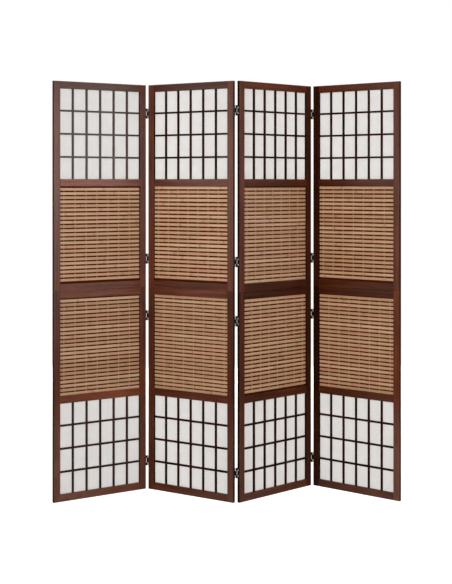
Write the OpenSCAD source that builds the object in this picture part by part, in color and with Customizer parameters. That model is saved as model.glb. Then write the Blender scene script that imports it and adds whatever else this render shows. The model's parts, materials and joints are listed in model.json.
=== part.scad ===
// Four-panel folding screen: stained wood frames, a shoji field and a bamboo blind in each half panel.
// Panel 1 stands at the left and panel 4 at the right of someone who looks along +Y.
// Each panel is drawn in its own frame: X across it, Y from its front face to its back, Z up.

/* [Panels] */
// Width of one panel
panel_w = 450; // [380:1:560]
// Height of one half panel; two halves stand on each other
half_h = 890; // [760:1:1000]
// Thickness of the frame, front to back
frame_t = 14; // [13:0.5:22]
// Width of an upright stile
stile_w = 31; // [26:0.5:45]
// Height of a rail
rail_h = 31; // [24:0.5:45]
// Bevel on the frame's edges
edge_bevel = 1.2; // [0.4:0.1:2]

/* [Shoji field] */
// Height of the field between its two rails
field_h = 384; // [300:1:440]
// Panes across the field
pane_columns = 6; // [3:1:8]
// Panes up the field
pane_rows = 4; // [2:1:6]
// Width of a lattice bar, seen from the front
bar_w = 8; // [5:0.5:12]
// Thickness of a lattice bar, front to back
bar_t = 7; // [5:0.5:7.5]
// How far the lattice lies behind the frame's front face
bar_recess = 3.5; // [2:0.25:3.75]
// How far a lattice bar's end goes into the frame
bar_tuck = 4; // [2:0.5:8]
// Thickness of the paper
paper_t = 0.4; // [0.3:0.1:0.8]
// How far the paper's edge goes into the frame
paper_tuck = 4; // [2:0.5:4.5]

/* [Bamboo blind] */
// Width of a slat, seen from the front
slat_w = 12.5; // [9:0.5:13.5]
// Thickness of a slat
slat_t = 2.4; // [1.6:0.2:2.8]
// Width of the eased front edges of a slat
slat_ease = 0.7; // [0.2:0.1:0.8]
// How far the slats lie behind the frame's front face
slat_recess = 6.5; // [4:0.5:7]
// How far a slat's end goes into the stile's groove
slat_tuck = 5; // [3:0.5:8]
// Threads that tie one blind
thread_count = 7; // [4:1:12]
// Width of a tying thread
thread_w = 2; // [1:0.25:3]
// Thickness of a tying thread
thread_t = 0.6; // [0.4:0.1:0.8]
// Distance from the near stile to the first thread's middle
thread_inset = 20; // [6:1:40]
// Distance from the last thread's middle to the far stile
thread_far_inset = 50; // [6:1:70]
// Thickness of the dark cloth behind the slats
backing_t = 0.5; // [0.3:0.1:0.8]
// How far the cloth's edge goes into the frame
backing_tuck = 4; // [2:0.5:4.5]

/* [Slat spacing] */
// Panel 1, lower blind: distance from one slat to the next
lower_pitch_1 = 17.18; // [15:0.02:22]
// Panel 1, lower blind: gap under the lowest slat
lower_start_1 = 0.3; // [0.2:0.1:12]
// Panel 1, upper blind: distance from one slat to the next
upper_pitch_1 = 17.5; // [15:0.02:22]
// Panel 1, upper blind: gap under the lowest slat
upper_start_1 = 9; // [0.2:0.1:12]
// Panel 2, lower blind: distance from one slat to the next
lower_pitch_2 = 16.66; // [15:0.02:22]
// Panel 2, lower blind: gap under the lowest slat
lower_start_2 = 0.3; // [0.2:0.1:12]
// Panel 2, upper blind: distance from one slat to the next
upper_pitch_2 = 17.76; // [15:0.02:22]
// Panel 2, upper blind: gap under the lowest slat
upper_start_2 = 9.4; // [0.2:0.1:12]
// Panel 3, lower blind: distance from one slat to the next
lower_pitch_3 = 17.6; // [15:0.02:22]
// Panel 3, lower blind: gap under the lowest slat
lower_start_3 = 8.5; // [0.2:0.1:12]
// Panel 3, upper blind: distance from one slat to the next
upper_pitch_3 = 17.16; // [15:0.02:22]
// Panel 3, upper blind: gap under the lowest slat
upper_start_3 = 0.3; // [0.2:0.1:12]
// Panel 4, lower blind: distance from one slat to the next
lower_pitch_4 = 17.2; // [15:0.02:22]
// Panel 4, lower blind: gap under the lowest slat
lower_start_4 = 0.3; // [0.2:0.1:12]
// Panel 4, upper blind: distance from one slat to the next
upper_pitch_4 = 17.78; // [15:0.02:22]
// Panel 4, upper blind: gap under the lowest slat
upper_start_4 = 9; // [0.2:0.1:12]

/* [Joinery] */
// Length of a rail's tenon
tenon_l = 14; // [8:1:18]
// Thickness of a rail's tenon
tenon_t = 5; // [3:0.5:6]
// Shoulder above and below a rail's tenon
tenon_shoulder = 5.5; // [5:0.5:8]
// Dowels between the two halves of one panel
dowel_count = 3; // [2:1:5]
// Diameter of a dowel
dowel_d = 6; // [4:0.5:8]
// Length of a dowel
dowel_l = 36; // [24:1:38]
// Free end left in a dowel's hole
dowel_end_gap = 0.5; // [0.2:0.1:2]
// Play of a glued or sliding wood fit, each side
wood_fit = 0.1; // [0.05:0.01:0.25]
// Play of a lattice half-lap, each side
lap_fit = 0.05; // [0.02:0.01:0.15]

/* [Two-way hinges] */
// Gap between two stiles when the screen is flat
hinge_gap = 11; // [10:0.5:16]
// From the end of a half panel to a hinge's middle
hinge_end = 125; // [60:1:200]
// Height of a hinge
leaf_h = 44; // [36:1:60]
// Width of a leaf on the stile's edge
leaf_w = 12; // [10.5:0.5:12.5]
// Thickness of a leaf
leaf_t = 1.5; // [1:0.1:1.8]
// Radius of a knuckle
knuckle_r = 3; // [2.4:0.1:3.2]
// Radius of a hinge pin
pin_r = 1.3; // [0.9:0.1:1.5]
// How far a pin's middle stands outside the frame's face
pin_out = 0.5; // [0.4:0.1:1.5]
// Height of the link's knuckle, in the middle of the hinge
link_h = 19.4; // [12:0.2:22]
// Thickness of the link between the two pins
link_t = 2; // [1.2:0.1:2.4]
// Gap between two knuckles on one pin
knuckle_gap = 0.3; // [0.15:0.05:0.6]
// Running clearance around a pin
pin_fit = 0.05; // [0.02:0.01:0.1]
// Distance between a leaf's two screws
screw_pitch = 24; // [16:1:30]
// Radius of a screw's shank
shank_r = 1.4; // [1:0.1:1.8]
// Length of a screw's shank
shank_l = 12; // [8:0.5:14]
// Radius of a screw's head
head_r = 2.9; // [2.2:0.1:3.2]
// Height of a screw's head
head_h = 1.2; // [0.8:0.1:1.4]
// Width of a screw's cross recess
recess_w = 0.8; // [0.5:0.1:1]
// Play around a screw's shank
screw_fit = 0.1; // [0.05:0.05:0.3]

/* [Standing pose] */
// Turn of panel 1 from the X axis
first_angle = 34.1; // [5:0.1:60]
// Fold between panels 1 and 2, front faces together
fold_angle_12 = 68; // [20:0.5:150]
// Fold between panels 2 and 3, back faces together
fold_angle_23 = 78; // [20:0.5:150]
// Fold between panels 3 and 4, front faces together
fold_angle_34 = 84; // [20:0.5:150]

/* [Hidden] */
$fn = 48;
wood = [0.36, 0.22, 0.18];
dark_cloth = [0.17, 0.09, 0.06];
bamboo = [0.79, 0.64, 0.47];
thread_colour = [0.87, 0.78, 0.63];
paper = [0.91, 0.90, 0.88];
black_steel = [0.07, 0.07, 0.08];
bright_steel = [0.76, 0.75, 0.72];
beech = [0.80, 0.66, 0.46];

// Overrun of a cut past the surface that it opens
over = 1;
opening_w = panel_w - 2 * stile_w;
// Levels in the lower half: bottom rail, field, middle rail, blind, seam rail
field_z = rail_h;
middle_z = field_z + field_h;
blind_z = middle_z + rail_h;
seam_rail_z = half_h - rail_h;
blind_h = seam_rail_z - blind_z;
rail_levels = [0, middle_z, seam_rail_z];
pane_w = (opening_w - (pane_columns - 1) * bar_w) / pane_columns;
pane_h = (field_h - (pane_rows - 1) * bar_w) / pane_rows;
bar_back = bar_recess + bar_t;
lap_y = bar_recess + bar_t / 2;
slat_back = slat_recess + slat_t;
backing_y = slat_back + thread_t;
thread_step = (opening_w - thread_inset - thread_far_inset) / (thread_count - 1);
tenon_h = rail_h - 2 * tenon_shoulder;
screen_h = 2 * half_h;

// Each blind's slat spacing, panels 1 to 4, and the number of slats that fit into it
lower_pitch = [lower_pitch_1, lower_pitch_2, lower_pitch_3, lower_pitch_4];
lower_start = [lower_start_1, lower_start_2, lower_start_3, lower_start_4];
upper_pitch = [upper_pitch_1, upper_pitch_2, upper_pitch_3, upper_pitch_4];
upper_start = [upper_start_1, upper_start_2, upper_start_3, upper_start_4];
upper_blind_z = screen_h - seam_rail_z;
function slats_in(pitch, start) = floor((blind_h - start - slat_w) / pitch) + 1;

// Hinge sizes, in a frame at the middle of the gap and on the front face's plane
leaf_y = (frame_t - leaf_w) / 2;
front_pin_y = -pin_out;
back_pin_y = frame_t + pin_out;
knuckle_z = link_h / 2 + knuckle_gap;
hinge_levels = [hinge_end, half_h - hinge_end, half_h + hinge_end, screen_h - hinge_end];
head_x = -hinge_gap / 2 + leaf_t;

// Where each panel stands: x and y of its front left corner, and its turn
function turned(p, a) = [p[0] * cos(a) - p[1] * sin(a), p[0] * sin(a) + p[1] * cos(a)];
function pin_y(fold) = fold < 0 ? front_pin_y : back_pin_y;
function pin_at(panel, fold) =
    [panel[0], panel[1]] + turned([panel_w + hinge_gap / 2, pin_y(fold)], panel[2]);
function next_panel(panel, fold) =
    let (turn = panel[2] + fold)
    let (corner = pin_at(panel, fold) - turned([-hinge_gap / 2, pin_y(fold)], turn))
    [corner[0], corner[1], turn];
folds = [-fold_angle_12, fold_angle_23, -fold_angle_34];
stand_1 = [0, 0, first_angle];
stand_2 = next_panel(stand_1, folds[0]);
stand_3 = next_panel(stand_2, folds[1]);
stand_4 = next_panel(stand_3, folds[2]);
stands = [stand_1, stand_2, stand_3, stand_4];

// The outline of a bevelled panel and the knuckles around the pins give the footprint
b = edge_bevel;
outline = [[0, b], [b, 0], [panel_w - b, 0], [panel_w, b],
    [panel_w, frame_t - b], [panel_w - b, frame_t], [b, frame_t], [0, frame_t - b]];
function placed(stand, p) = [stand[0], stand[1]] + turned(p, stand[2]);
corners = [for (stand = stands) for (p = outline) placed(stand, p)];
pins = [for (k = [0:2]) for (y = [front_pin_y, back_pin_y])
    folds[k] < 0 ? placed(stands[k + 1], [-hinge_gap / 2, y])
                 : placed(stands[k], [panel_w + hinge_gap / 2, y])];
low_x = min(concat([for (p = corners) p[0]], [for (p = pins) p[0] - knuckle_r]));
high_x = max(concat([for (p = corners) p[0]], [for (p = pins) p[0] + knuckle_r]));
low_y = min(concat([for (p = corners) p[1]], [for (p = pins) p[1] - knuckle_r]));
high_y = max(concat([for (p = corners) p[1]], [for (p = pins) p[1] + knuckle_r]));
centre = [(low_x + high_x) / 2, (low_y + high_y) / 2];

// Puts a panel's pieces where that panel stands
module on_panel(n) {
    stand = stands[n - 1];
    translate([stand[0] - centre[0], stand[1] - centre[1], 0])
        rotate([0, 0, stand[2]])
        children();
}

// The upper half is the lower half turned over at the seam
module upper_half() {
    translate([0, 0, screen_h]) mirror([0, 0, 1]) children();
}

// The right side of a panel mirrors its left side
module right_side() {
    translate([panel_w, 0, 0]) mirror([1, 0, 0]) children();
}

// A hinge's frame on the right edge of panel k, or on the left edge of panel k + 1
module on_left_of_hinge(k) {
    on_panel(k) translate([panel_w + hinge_gap / 2, 0, 0]) children();
}

module on_right_of_hinge(k) {
    on_panel(k + 1) translate([-hinge_gap / 2, 0, 0]) children();
}

// The link stays with the panel beyond the pin that is folded
module on_link_of_hinge(k) {
    if (folds[k - 1] < 0) on_right_of_hinge(k) children();
    else on_left_of_hinge(k) children();
}

// A rectangle with its corners bevelled
module eased(a, c, bevel) {
    polygon([[0, bevel], [bevel, 0], [a - bevel, 0], [a, bevel],
        [a, c - bevel], [a - bevel, c], [bevel, c], [0, c - bevel]]);
}

// Lays an outline drawn in Y and Z along X
module along_x(l) {
    rotate([90, 0, 90]) linear_extrude(l) children();
}

// Room for the paper: the sheet's box with play around it
module paper_pocket() {
    translate([stile_w - paper_tuck - wood_fit, bar_back - wood_fit, field_z - paper_tuck - wood_fit])
        cube([opening_w + 2 * (paper_tuck + wood_fit), paper_t + 2 * wood_fit,
            field_h + 2 * (paper_tuck + wood_fit)]);
}

// Room for the backing cloth
module backing_pocket() {
    translate([stile_w - backing_tuck - wood_fit, backing_y - wood_fit,
        blind_z - backing_tuck - wood_fit])
        cube([opening_w + 2 * (backing_tuck + wood_fit), backing_t + 2 * wood_fit,
            blind_h + 2 * (backing_tuck + wood_fit)]);
}

// Room for the ends of the slats and of their threads
module blind_groove() {
    translate([stile_w - slat_tuck - wood_fit, slat_recess - wood_fit, blind_z])
        cube([opening_w + 2 * (slat_tuck + wood_fit), slat_t + thread_t + 2 * wood_fit, blind_h]);
}

// Room for the ends of the lattice bars
module bar_sockets() {
    for (r = [1:pane_rows - 1])
        translate([stile_w - bar_tuck - wood_fit, bar_recess - wood_fit,
            field_z + r * (pane_h + bar_w) - bar_w - wood_fit])
            cube([opening_w + 2 * (bar_tuck + wood_fit), bar_t + 2 * wood_fit,
                bar_w + 2 * wood_fit]);
    for (c = [1:pane_columns - 1])
        translate([stile_w + c * (pane_w + bar_w) - bar_w - wood_fit, bar_recess - wood_fit,
            field_z - bar_tuck - wood_fit])
            cube([bar_w + 2 * wood_fit, bar_t + 2 * wood_fit,
                field_h + 2 * (bar_tuck + wood_fit)]);
}

// A rail's two tenons as one box, with play for its mortises
module tenon_box(level, play) {
    translate([stile_w - tenon_l - play, (frame_t - tenon_t) / 2 - play,
        level + tenon_shoulder - play])
        cube([opening_w + 2 * (tenon_l + play), tenon_t + 2 * play, tenon_h + 2 * play]);
}

// Pilot holes for the hinge screws, on the stile's outer edge
module pilot_holes() {
    for (z = [hinge_end, half_h - hinge_end])
        for (s = [-1, 1])
            translate([-over, frame_t / 2, z + s * screw_pitch / 2])
                rotate([0, 90, 0])
                cylinder(r = shank_r + screw_fit, h = over + shank_l - leaf_t + screw_fit);
}

// The left stile of a lower half, all its edges bevelled
module stile(hinged) {
    difference() {
        intersection() {
            linear_extrude(half_h) eased(stile_w, frame_t, edge_bevel);
            along_x(stile_w) eased(frame_t, half_h, edge_bevel);
            translate([0, frame_t, 0]) rotate([90, 0, 0])
                linear_extrude(frame_t) eased(stile_w, half_h, edge_bevel);
        }
        for (level = rail_levels) tenon_box(level, wood_fit);
        paper_pocket();
        backing_pocket();
        blind_groove();
        bar_sockets();
        if (hinged) pilot_holes();
    }
}

// Both stiles of a half; the outer edges of the end panels carry no hinge
module stiles(n) {
    color(wood) {
        stile(n > 1);
        right_side() stile(n < 4);
    }
}

module dowel_holes() {
    for (i = [0:dowel_count - 1])
        translate([stile_w + opening_w * (i + 0.5) / dowel_count, frame_t / 2,
            half_h - dowel_l / 2 - dowel_end_gap])
            cylinder(r = dowel_d / 2 + wood_fit, h = dowel_l);
}

// The three rails of a lower half
module rails() {
    color(wood) difference() {
        for (level = rail_levels) {
            translate([stile_w, 0, level]) along_x(opening_w) eased(frame_t, rail_h, edge_bevel);
            tenon_box(level, 0);
        }
        paper_pocket();
        backing_pocket();
        bar_sockets();
        dowel_holes();
    }
}

// The shoji lattice: upright bars run through in front, level bars behind, half-lapped
module lattice() {
    color(wood) {
        for (c = [1:pane_columns - 1])
            difference() {
                translate([stile_w + c * (pane_w + bar_w) - bar_w, bar_recess, field_z - bar_tuck])
                    cube([bar_w, bar_t, field_h + 2 * bar_tuck]);
                for (r = [1:pane_rows - 1])
                    translate([stile_w, lap_y, field_z + r * (pane_h + bar_w) - bar_w - lap_fit])
                        cube([opening_w, bar_t, bar_w + 2 * lap_fit]);
            }
        for (r = [1:pane_rows - 1])
            difference() {
                translate([stile_w - bar_tuck, bar_recess, field_z + r * (pane_h + bar_w) - bar_w])
                    cube([opening_w + 2 * bar_tuck, bar_t, bar_w]);
                for (c = [1:pane_columns - 1])
                    translate([stile_w + c * (pane_w + bar_w) - bar_w - lap_fit, lap_y - bar_t,
                        field_z])
                        cube([bar_w + 2 * lap_fit, bar_t + lap_fit, field_h]);
            }
    }
}

// The paper behind a lattice, its edges held in the frame
module shoji_sheet() {
    color(paper)
        translate([stile_w - paper_tuck, bar_back, field_z - paper_tuck])
        cube([opening_w + 2 * paper_tuck, paper_t, field_h + 2 * paper_tuck]);
}

// One bamboo slat: its front edges are eased
module slat() {
    along_x(opening_w + 2 * slat_tuck)
        polygon([[slat_t, 0], [slat_ease, 0], [0, slat_ease],
            [0, slat_w - slat_ease], [slat_ease, slat_w], [slat_t, slat_w]]);
}

// The slats of one blind, from the lowest up
module blind_slats(level, pitch, start) {
    for (i = [0:slats_in(pitch, start) - 1])
        translate([stile_w - slat_tuck, slat_recess, level + start + i * pitch])
            slat();
}

// The slats of both blinds of panel n
module bamboo_slats(n) {
    color(bamboo) {
        blind_slats(blind_z, lower_pitch[n - 1], lower_start[n - 1]);
        blind_slats(upper_blind_z, upper_pitch[n - 1], upper_start[n - 1]);
    }
}

// The cloth that closes the blind's back
module blind_backing() {
    color(dark_cloth)
        translate([stile_w - backing_tuck, backing_y, blind_z - backing_tuck])
        cube([opening_w + 2 * backing_tuck, backing_t, blind_h + 2 * backing_tuck]);
}

// The threads behind one blind's slats, from the lowest slat to the highest
module blind_threads(level, pitch, start, first) {
    for (i = [0:thread_count - 1])
        translate([stile_w + first + i * thread_step - thread_w / 2, slat_back,
            level + start])
            cube([thread_w, thread_t, (slats_in(pitch, start) - 1) * pitch + slat_w]);
}

// The threads of both blinds of panel n; its lower blind hangs the other way round from panel 2 on
module binding_threads(n) {
    color(thread_colour) {
        blind_threads(blind_z, lower_pitch[n - 1], lower_start[n - 1],
            n == 1 ? thread_inset : thread_far_inset);
        blind_threads(upper_blind_z, upper_pitch[n - 1], upper_start[n - 1], thread_inset);
    }
}

// The dowels that join the lower half to the upper half
module joining_dowels() {
    color(beech)
        for (i = [0:dowel_count - 1])
            translate([stile_w + opening_w * (i + 0.5) / dowel_count, frame_t / 2,
                half_h - dowel_l / 2])
                cylinder(r = dowel_d / 2, h = dowel_l);
}

// The left leaf of a hinge: a plate on the stile's edge and two knuckles on the front pin
module leaf() {
    difference() {
        union() {
            translate([-hinge_gap / 2, leaf_y, -leaf_h / 2]) cube([leaf_t, leaf_w, leaf_h]);
            for (z = [-leaf_h / 2, knuckle_z]) {
                translate([-hinge_gap / 2, front_pin_y - leaf_t / 2, z])
                    cube([leaf_t, leaf_y - front_pin_y + leaf_t, leaf_h / 2 - knuckle_z]);
                translate([-hinge_gap / 2, front_pin_y - leaf_t / 2, z])
                    cube([hinge_gap / 2, leaf_t, leaf_h / 2 - knuckle_z]);
                translate([0, front_pin_y, z])
                    cylinder(r = knuckle_r, h = leaf_h / 2 - knuckle_z);
            }
        }
        translate([0, front_pin_y, -leaf_h])
            cylinder(r = pin_r + pin_fit, h = 2 * leaf_h);
        for (s = [-1, 1])
            translate([-hinge_gap / 2 - over, frame_t / 2, s * screw_pitch / 2])
                rotate([0, 90, 0])
                cylinder(r = shank_r + screw_fit, h = leaf_t + 2 * over);
    }
}

module left_leaves() {
    color(black_steel)
        for (z = hinge_levels) translate([0, 0, z]) leaf();
}

// The right leaf is the left leaf turned about the hinge's middle, so it takes the back pin
module right_leaves() {
    color(black_steel)
        for (z = hinge_levels) translate([0, frame_t, z]) rotate([0, 0, 180]) leaf();
}

// The link between the two pins lets the screen fold either way
module links() {
    color(black_steel)
        for (z = hinge_levels)
            translate([0, 0, z - link_h / 2])
                difference() {
                    union() {
                        translate([-link_t / 2, front_pin_y, 0])
                            cube([link_t, back_pin_y - front_pin_y, link_h]);
                        for (y = [front_pin_y, back_pin_y])
                            translate([0, y, 0]) cylinder(r = knuckle_r, h = link_h);
                    }
                    for (y = [front_pin_y, back_pin_y])
                        translate([0, y, -over])
                            cylinder(r = pin_r + pin_fit, h = link_h + 2 * over);
                }
}

module hinge_pins() {
    color(bright_steel)
        for (z = hinge_levels)
            for (y = [front_pin_y, back_pin_y])
                translate([0, y, z - leaf_h / 2]) cylinder(r = pin_r, h = leaf_h);
}

// A cross-head screw that points along -X, its head's seat at the origin
module screw() {
    difference() {
        union() {
            translate([-shank_l, 0, 0]) rotate([0, 90, 0]) cylinder(r = shank_r, h = shank_l);
            rotate([0, 90, 0]) cylinder(r = head_r, h = head_h / 2);
            translate([head_h / 2, 0, 0]) rotate([0, 90, 0])
                cylinder(r1 = head_r, r2 = head_r * 0.7, h = head_h / 2);
        }
        translate([head_h / 2, -recess_w / 2, -head_r / 2]) cube([head_h, recess_w, head_r]);
        translate([head_h / 2, -head_r / 2, -recess_w / 2]) cube([head_h, head_r, recess_w]);
    }
}

// Two screws in the left leaf of each hinge
module leaf_screws() {
    for (z = hinge_levels)
        for (s = [-1, 1])
            translate([head_x, frame_t / 2, z + s * screw_pitch / 2]) screw();
}

// The screws on both edges of a panel, where it has hinges
module hinge_screws(n) {
    color(bright_steel) {
        if (n < 4) translate([panel_w + hinge_gap / 2, 0, 0]) leaf_screws();
        if (n > 1) translate([-hinge_gap / 2, frame_t, 0]) rotate([0, 0, 180]) leaf_screws();
    }
}

// Nodes that hold the same piece in both halves
module in_both_halves() {
    children();
    upper_half() children();
}

on_panel(1) upper_half() stiles(1);  // panel_1_upper_stiles
on_panel(1) upper_half() rails();  // panel_1_upper_rails
on_panel(1) stiles(1);  // panel_1_lower_stiles
on_panel(1) rails();  // panel_1_lower_rails
on_panel(1) upper_half() lattice();  // panel_1_upper_lattice
on_panel(1) lattice();  // panel_1_lower_lattice
on_panel(1) in_both_halves() shoji_sheet();  // panel_1_shoji_sheets
on_panel(1) bamboo_slats(1);  // panel_1_bamboo_slats
on_panel(1) in_both_halves() blind_backing();  // panel_1_blind_backing
on_panel(1) binding_threads(1);  // panel_1_binding_threads
on_panel(1) joining_dowels();  // panel_1_joining_dowels
on_panel(1) hinge_screws(1);  // panel_1_hinge_screws

on_panel(2) upper_half() stiles(2);  // panel_2_upper_stiles
on_panel(2) upper_half() rails();  // panel_2_upper_rails
on_panel(2) stiles(2);  // panel_2_lower_stiles
on_panel(2) rails();  // panel_2_lower_rails
on_panel(2) upper_half() lattice();  // panel_2_upper_lattice
on_panel(2) lattice();  // panel_2_lower_lattice
on_panel(2) in_both_halves() shoji_sheet();  // panel_2_shoji_sheets
on_panel(2) bamboo_slats(2);  // panel_2_bamboo_slats
on_panel(2) in_both_halves() blind_backing();  // panel_2_blind_backing
on_panel(2) binding_threads(2);  // panel_2_binding_threads
on_panel(2) joining_dowels();  // panel_2_joining_dowels
on_panel(2) hinge_screws(2);  // panel_2_hinge_screws

on_panel(3) upper_half() stiles(3);  // panel_3_upper_stiles
on_panel(3) upper_half() rails();  // panel_3_upper_rails
on_panel(3) stiles(3);  // panel_3_lower_stiles
on_panel(3) rails();  // panel_3_lower_rails
on_panel(3) upper_half() lattice();  // panel_3_upper_lattice
on_panel(3) lattice();  // panel_3_lower_lattice
on_panel(3) in_both_halves() shoji_sheet();  // panel_3_shoji_sheets
on_panel(3) bamboo_slats(3);  // panel_3_bamboo_slats
on_panel(3) in_both_halves() blind_backing();  // panel_3_blind_backing
on_panel(3) binding_threads(3);  // panel_3_binding_threads
on_panel(3) joining_dowels();  // panel_3_joining_dowels
on_panel(3) hinge_screws(3);  // panel_3_hinge_screws

on_panel(4) upper_half() stiles(4);  // panel_4_upper_stiles
on_panel(4) upper_half() rails();  // panel_4_upper_rails
on_panel(4) stiles(4);  // panel_4_lower_stiles
on_panel(4) rails();  // panel_4_lower_rails
on_panel(4) upper_half() lattice();  // panel_4_upper_lattice
on_panel(4) lattice();  // panel_4_lower_lattice
on_panel(4) in_both_halves() shoji_sheet();  // panel_4_shoji_sheets
on_panel(4) bamboo_slats(4);  // panel_4_bamboo_slats
on_panel(4) in_both_halves() blind_backing();  // panel_4_blind_backing
on_panel(4) binding_threads(4);  // panel_4_binding_threads
on_panel(4) joining_dowels();  // panel_4_joining_dowels
on_panel(4) hinge_screws(4);  // panel_4_hinge_screws

on_left_of_hinge(1) left_leaves();  // hinges_12_left_leaves
on_right_of_hinge(1) right_leaves();  // hinges_12_right_leaves
on_link_of_hinge(1) links();  // hinges_12_links
on_link_of_hinge(1) hinge_pins();  // hinges_12_pins

on_left_of_hinge(2) left_leaves();  // hinges_23_left_leaves
on_right_of_hinge(2) right_leaves();  // hinges_23_right_leaves
on_link_of_hinge(2) links();  // hinges_23_links
on_link_of_hinge(2) hinge_pins();  // hinges_23_pins

on_left_of_hinge(3) left_leaves();  // hinges_34_left_leaves
on_right_of_hinge(3) right_leaves();  // hinges_34_right_leaves
on_link_of_hinge(3) links();  // hinges_34_links
on_link_of_hinge(3) hinge_pins();  // hinges_34_pins
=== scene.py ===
"""Looks of the folding screen: stained wood, shoji paper, bamboo blinds and black two-way hinges.

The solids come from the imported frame. Paper, cloth, slats and threads are made here and replace
their plain solids. Everything is in metres, in the frame's own place.
"""
import json
import math

import bpy
import numpy as np
from mathutils import Matrix, Vector


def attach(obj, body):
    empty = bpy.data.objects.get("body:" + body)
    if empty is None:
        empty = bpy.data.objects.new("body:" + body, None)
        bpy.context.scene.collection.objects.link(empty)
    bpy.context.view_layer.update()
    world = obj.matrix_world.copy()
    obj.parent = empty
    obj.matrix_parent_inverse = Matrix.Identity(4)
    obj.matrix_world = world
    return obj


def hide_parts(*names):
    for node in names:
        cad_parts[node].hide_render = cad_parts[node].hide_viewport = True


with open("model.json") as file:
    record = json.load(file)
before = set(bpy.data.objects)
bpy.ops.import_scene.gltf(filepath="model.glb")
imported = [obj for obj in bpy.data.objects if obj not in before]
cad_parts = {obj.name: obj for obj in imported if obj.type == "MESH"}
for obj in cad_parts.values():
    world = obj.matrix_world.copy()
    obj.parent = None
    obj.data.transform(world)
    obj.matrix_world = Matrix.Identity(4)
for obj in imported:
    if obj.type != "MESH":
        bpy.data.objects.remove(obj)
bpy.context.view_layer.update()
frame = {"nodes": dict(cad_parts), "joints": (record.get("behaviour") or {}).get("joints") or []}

# Sizes of one panel, the same as in the part's source
panel_w = 0.450
half_h = 0.890
frame_t = 0.014
stile_w = 0.031
rail_h = 0.031
field_h = 0.384
pane_columns = 6
pane_rows = 4
bar_w = 0.008
bar_t = 0.007
bar_recess = 0.0035
paper_t = 0.0004
paper_tuck = 0.004
slat_w = 0.0125
slat_t = 0.0024
slat_recess = 0.0065
slat_tuck = 0.005
thread_count = 7
thread_inset = 0.020
thread_far_inset = 0.050
thread_t = 0.0006
backing_t = 0.0005
backing_tuck = 0.004
hinge_gap = 0.011
pin_out = 0.0005

# Spacing of the slats in each blind, panels 1 to 4: from slat to slat, and under the lowest slat
slat_pitch = {"lower": [0.01718, 0.01666, 0.01760, 0.01720],
              "upper": [0.01750, 0.01776, 0.01716, 0.01778]}
slat_start = {"lower": [0.0003, 0.0003, 0.0085, 0.0003],
              "upper": [0.0090, 0.0094, 0.0003, 0.0090]}

# Finer sizes that the solids leave out: how far a slat may sit off its place, in metres, and lean, in
# radians, a short stretch at its ends that is hidden in the grooves, and the strands of a thread
slat_play = 0.00012
slat_lean = 0.0006
slat_end = 0.002
strand_r = 0.0003
inner_strand = 0.00033
outer_strand = 0.00095

# How far paper and cloth stand back from flat, and how finely their meshes are cut
paper_give = 0.00035
paper_ripple = 0.00006
paper_cells = (66, 56)
cloth_sag = 0.0009
cloth_wave = 0.0004
cloth_small_wave = 0.0002
cloth_first_phase = 5
cloth_next_phase = 1.7
cloth_cells = (40, 42)

# Wide enough to be clear of rounding, and far too narrow to be seen
hair = 0.00005

# How the panels turn from one to the next, in degrees
first_angle = 34.1
folds = [-68, 78, -84]

# The camera that the photograph gave
camera_place = (-0.00499, -5.45548, 1.34559)
lens = 77.448
image_height = 584
horizon_row = 183.681

opening_w = panel_w - 2 * stile_w
blind_h = half_h - 3 * rail_h - field_h
screen_h = 2 * half_h
field_z = {"lower": rail_h, "upper": screen_h - rail_h - field_h}
blind_z = {"lower": 2 * rail_h + field_h, "upper": half_h + rail_h}
pane_pitch_x = (opening_w + bar_w) / pane_columns
pane_pitch_z = (field_h + bar_w) / pane_rows
paper_y = bar_recess + bar_t
slat_back = slat_recess + slat_t
backing_y = slat_back + thread_t
PANELS = (1, 2, 3, 4)
HALVES = ("upper", "lower")


# Where the panels stand

def turned(point, degrees):
    c, s = math.cos(math.radians(degrees)), math.sin(math.radians(degrees))
    return point[0] * c - point[1] * s, point[0] * s + point[1] * c


def panel_stands():
    """Each panel's front left corner and turn, from the hinge pins that the frame gives."""
    pins = {j["name"]: j["pos_m"] for j in frame["joints"]}
    turns = [first_angle]
    for fold in folds:
        turns.append(turns[-1] + fold)
    front, back = -pin_out, frame_t + pin_out
    before, after = panel_w + hinge_gap / 2, -hinge_gap / 2
    held_by = [("fold_12_front_to_front", (before, front)),
               ("fold_12_front_to_front", (after, front)),
               ("fold_23_back_to_back", (after, back)),
               ("fold_34_front_to_front", (after, front))]
    stands = {}
    for n, (joint, pin), turn in zip(PANELS, held_by, turns):
        dx, dy = turned(pin, turn)
        stands[n] = (pins[joint][0] - dx, pins[joint][1] - dy, turn)
    return stands


stands = panel_stands()


def stand_up(mesh, n):
    """Moves a mesh from panel n's own frame to where the panel stands."""
    x, y, turn = stands[n]
    mesh.transform(Matrix.Translation((x, y, 0)) @ Matrix.Rotation(math.radians(turn), 4, "Z"))
    return mesh


# Short ways to build node trees

def node(tree, kind, inputs=None, **settings):
    """One node; its inputs are values, or sockets to link."""
    made = tree.nodes.new(kind)
    for key, value in settings.items():
        setattr(made, key, value)
    for key, value in (inputs or {}).items():
        if isinstance(value, bpy.types.NodeSocket):
            tree.links.new(value, made.inputs[key])
        else:
            made.inputs[key].default_value = value
    return made


def calc(tree, operation, *values):
    """The result of a math node."""
    return node(tree, "ShaderNodeMath", dict(enumerate(values)), operation=operation).outputs[0]


def times(tree, a, b):
    return calc(tree, "MULTIPLY", a, b)


def plus(tree, a, b):
    return calc(tree, "ADD", a, b)


def slope(tree, value, factor, start):
    """Value times factor, plus start."""
    return calc(tree, "MULTIPLY_ADD", value, factor, start)


def vector(tree, x, y, z):
    return node(tree, "ShaderNodeCombineXYZ", {0: x, 1: y, 2: z}).outputs[0]


def stretched(tree, place, factors):
    """A place whose three measures are each multiplied by a factor of their own."""
    return vector(tree, *(times(tree, *pair) for pair in zip(place, factors)))


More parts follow.
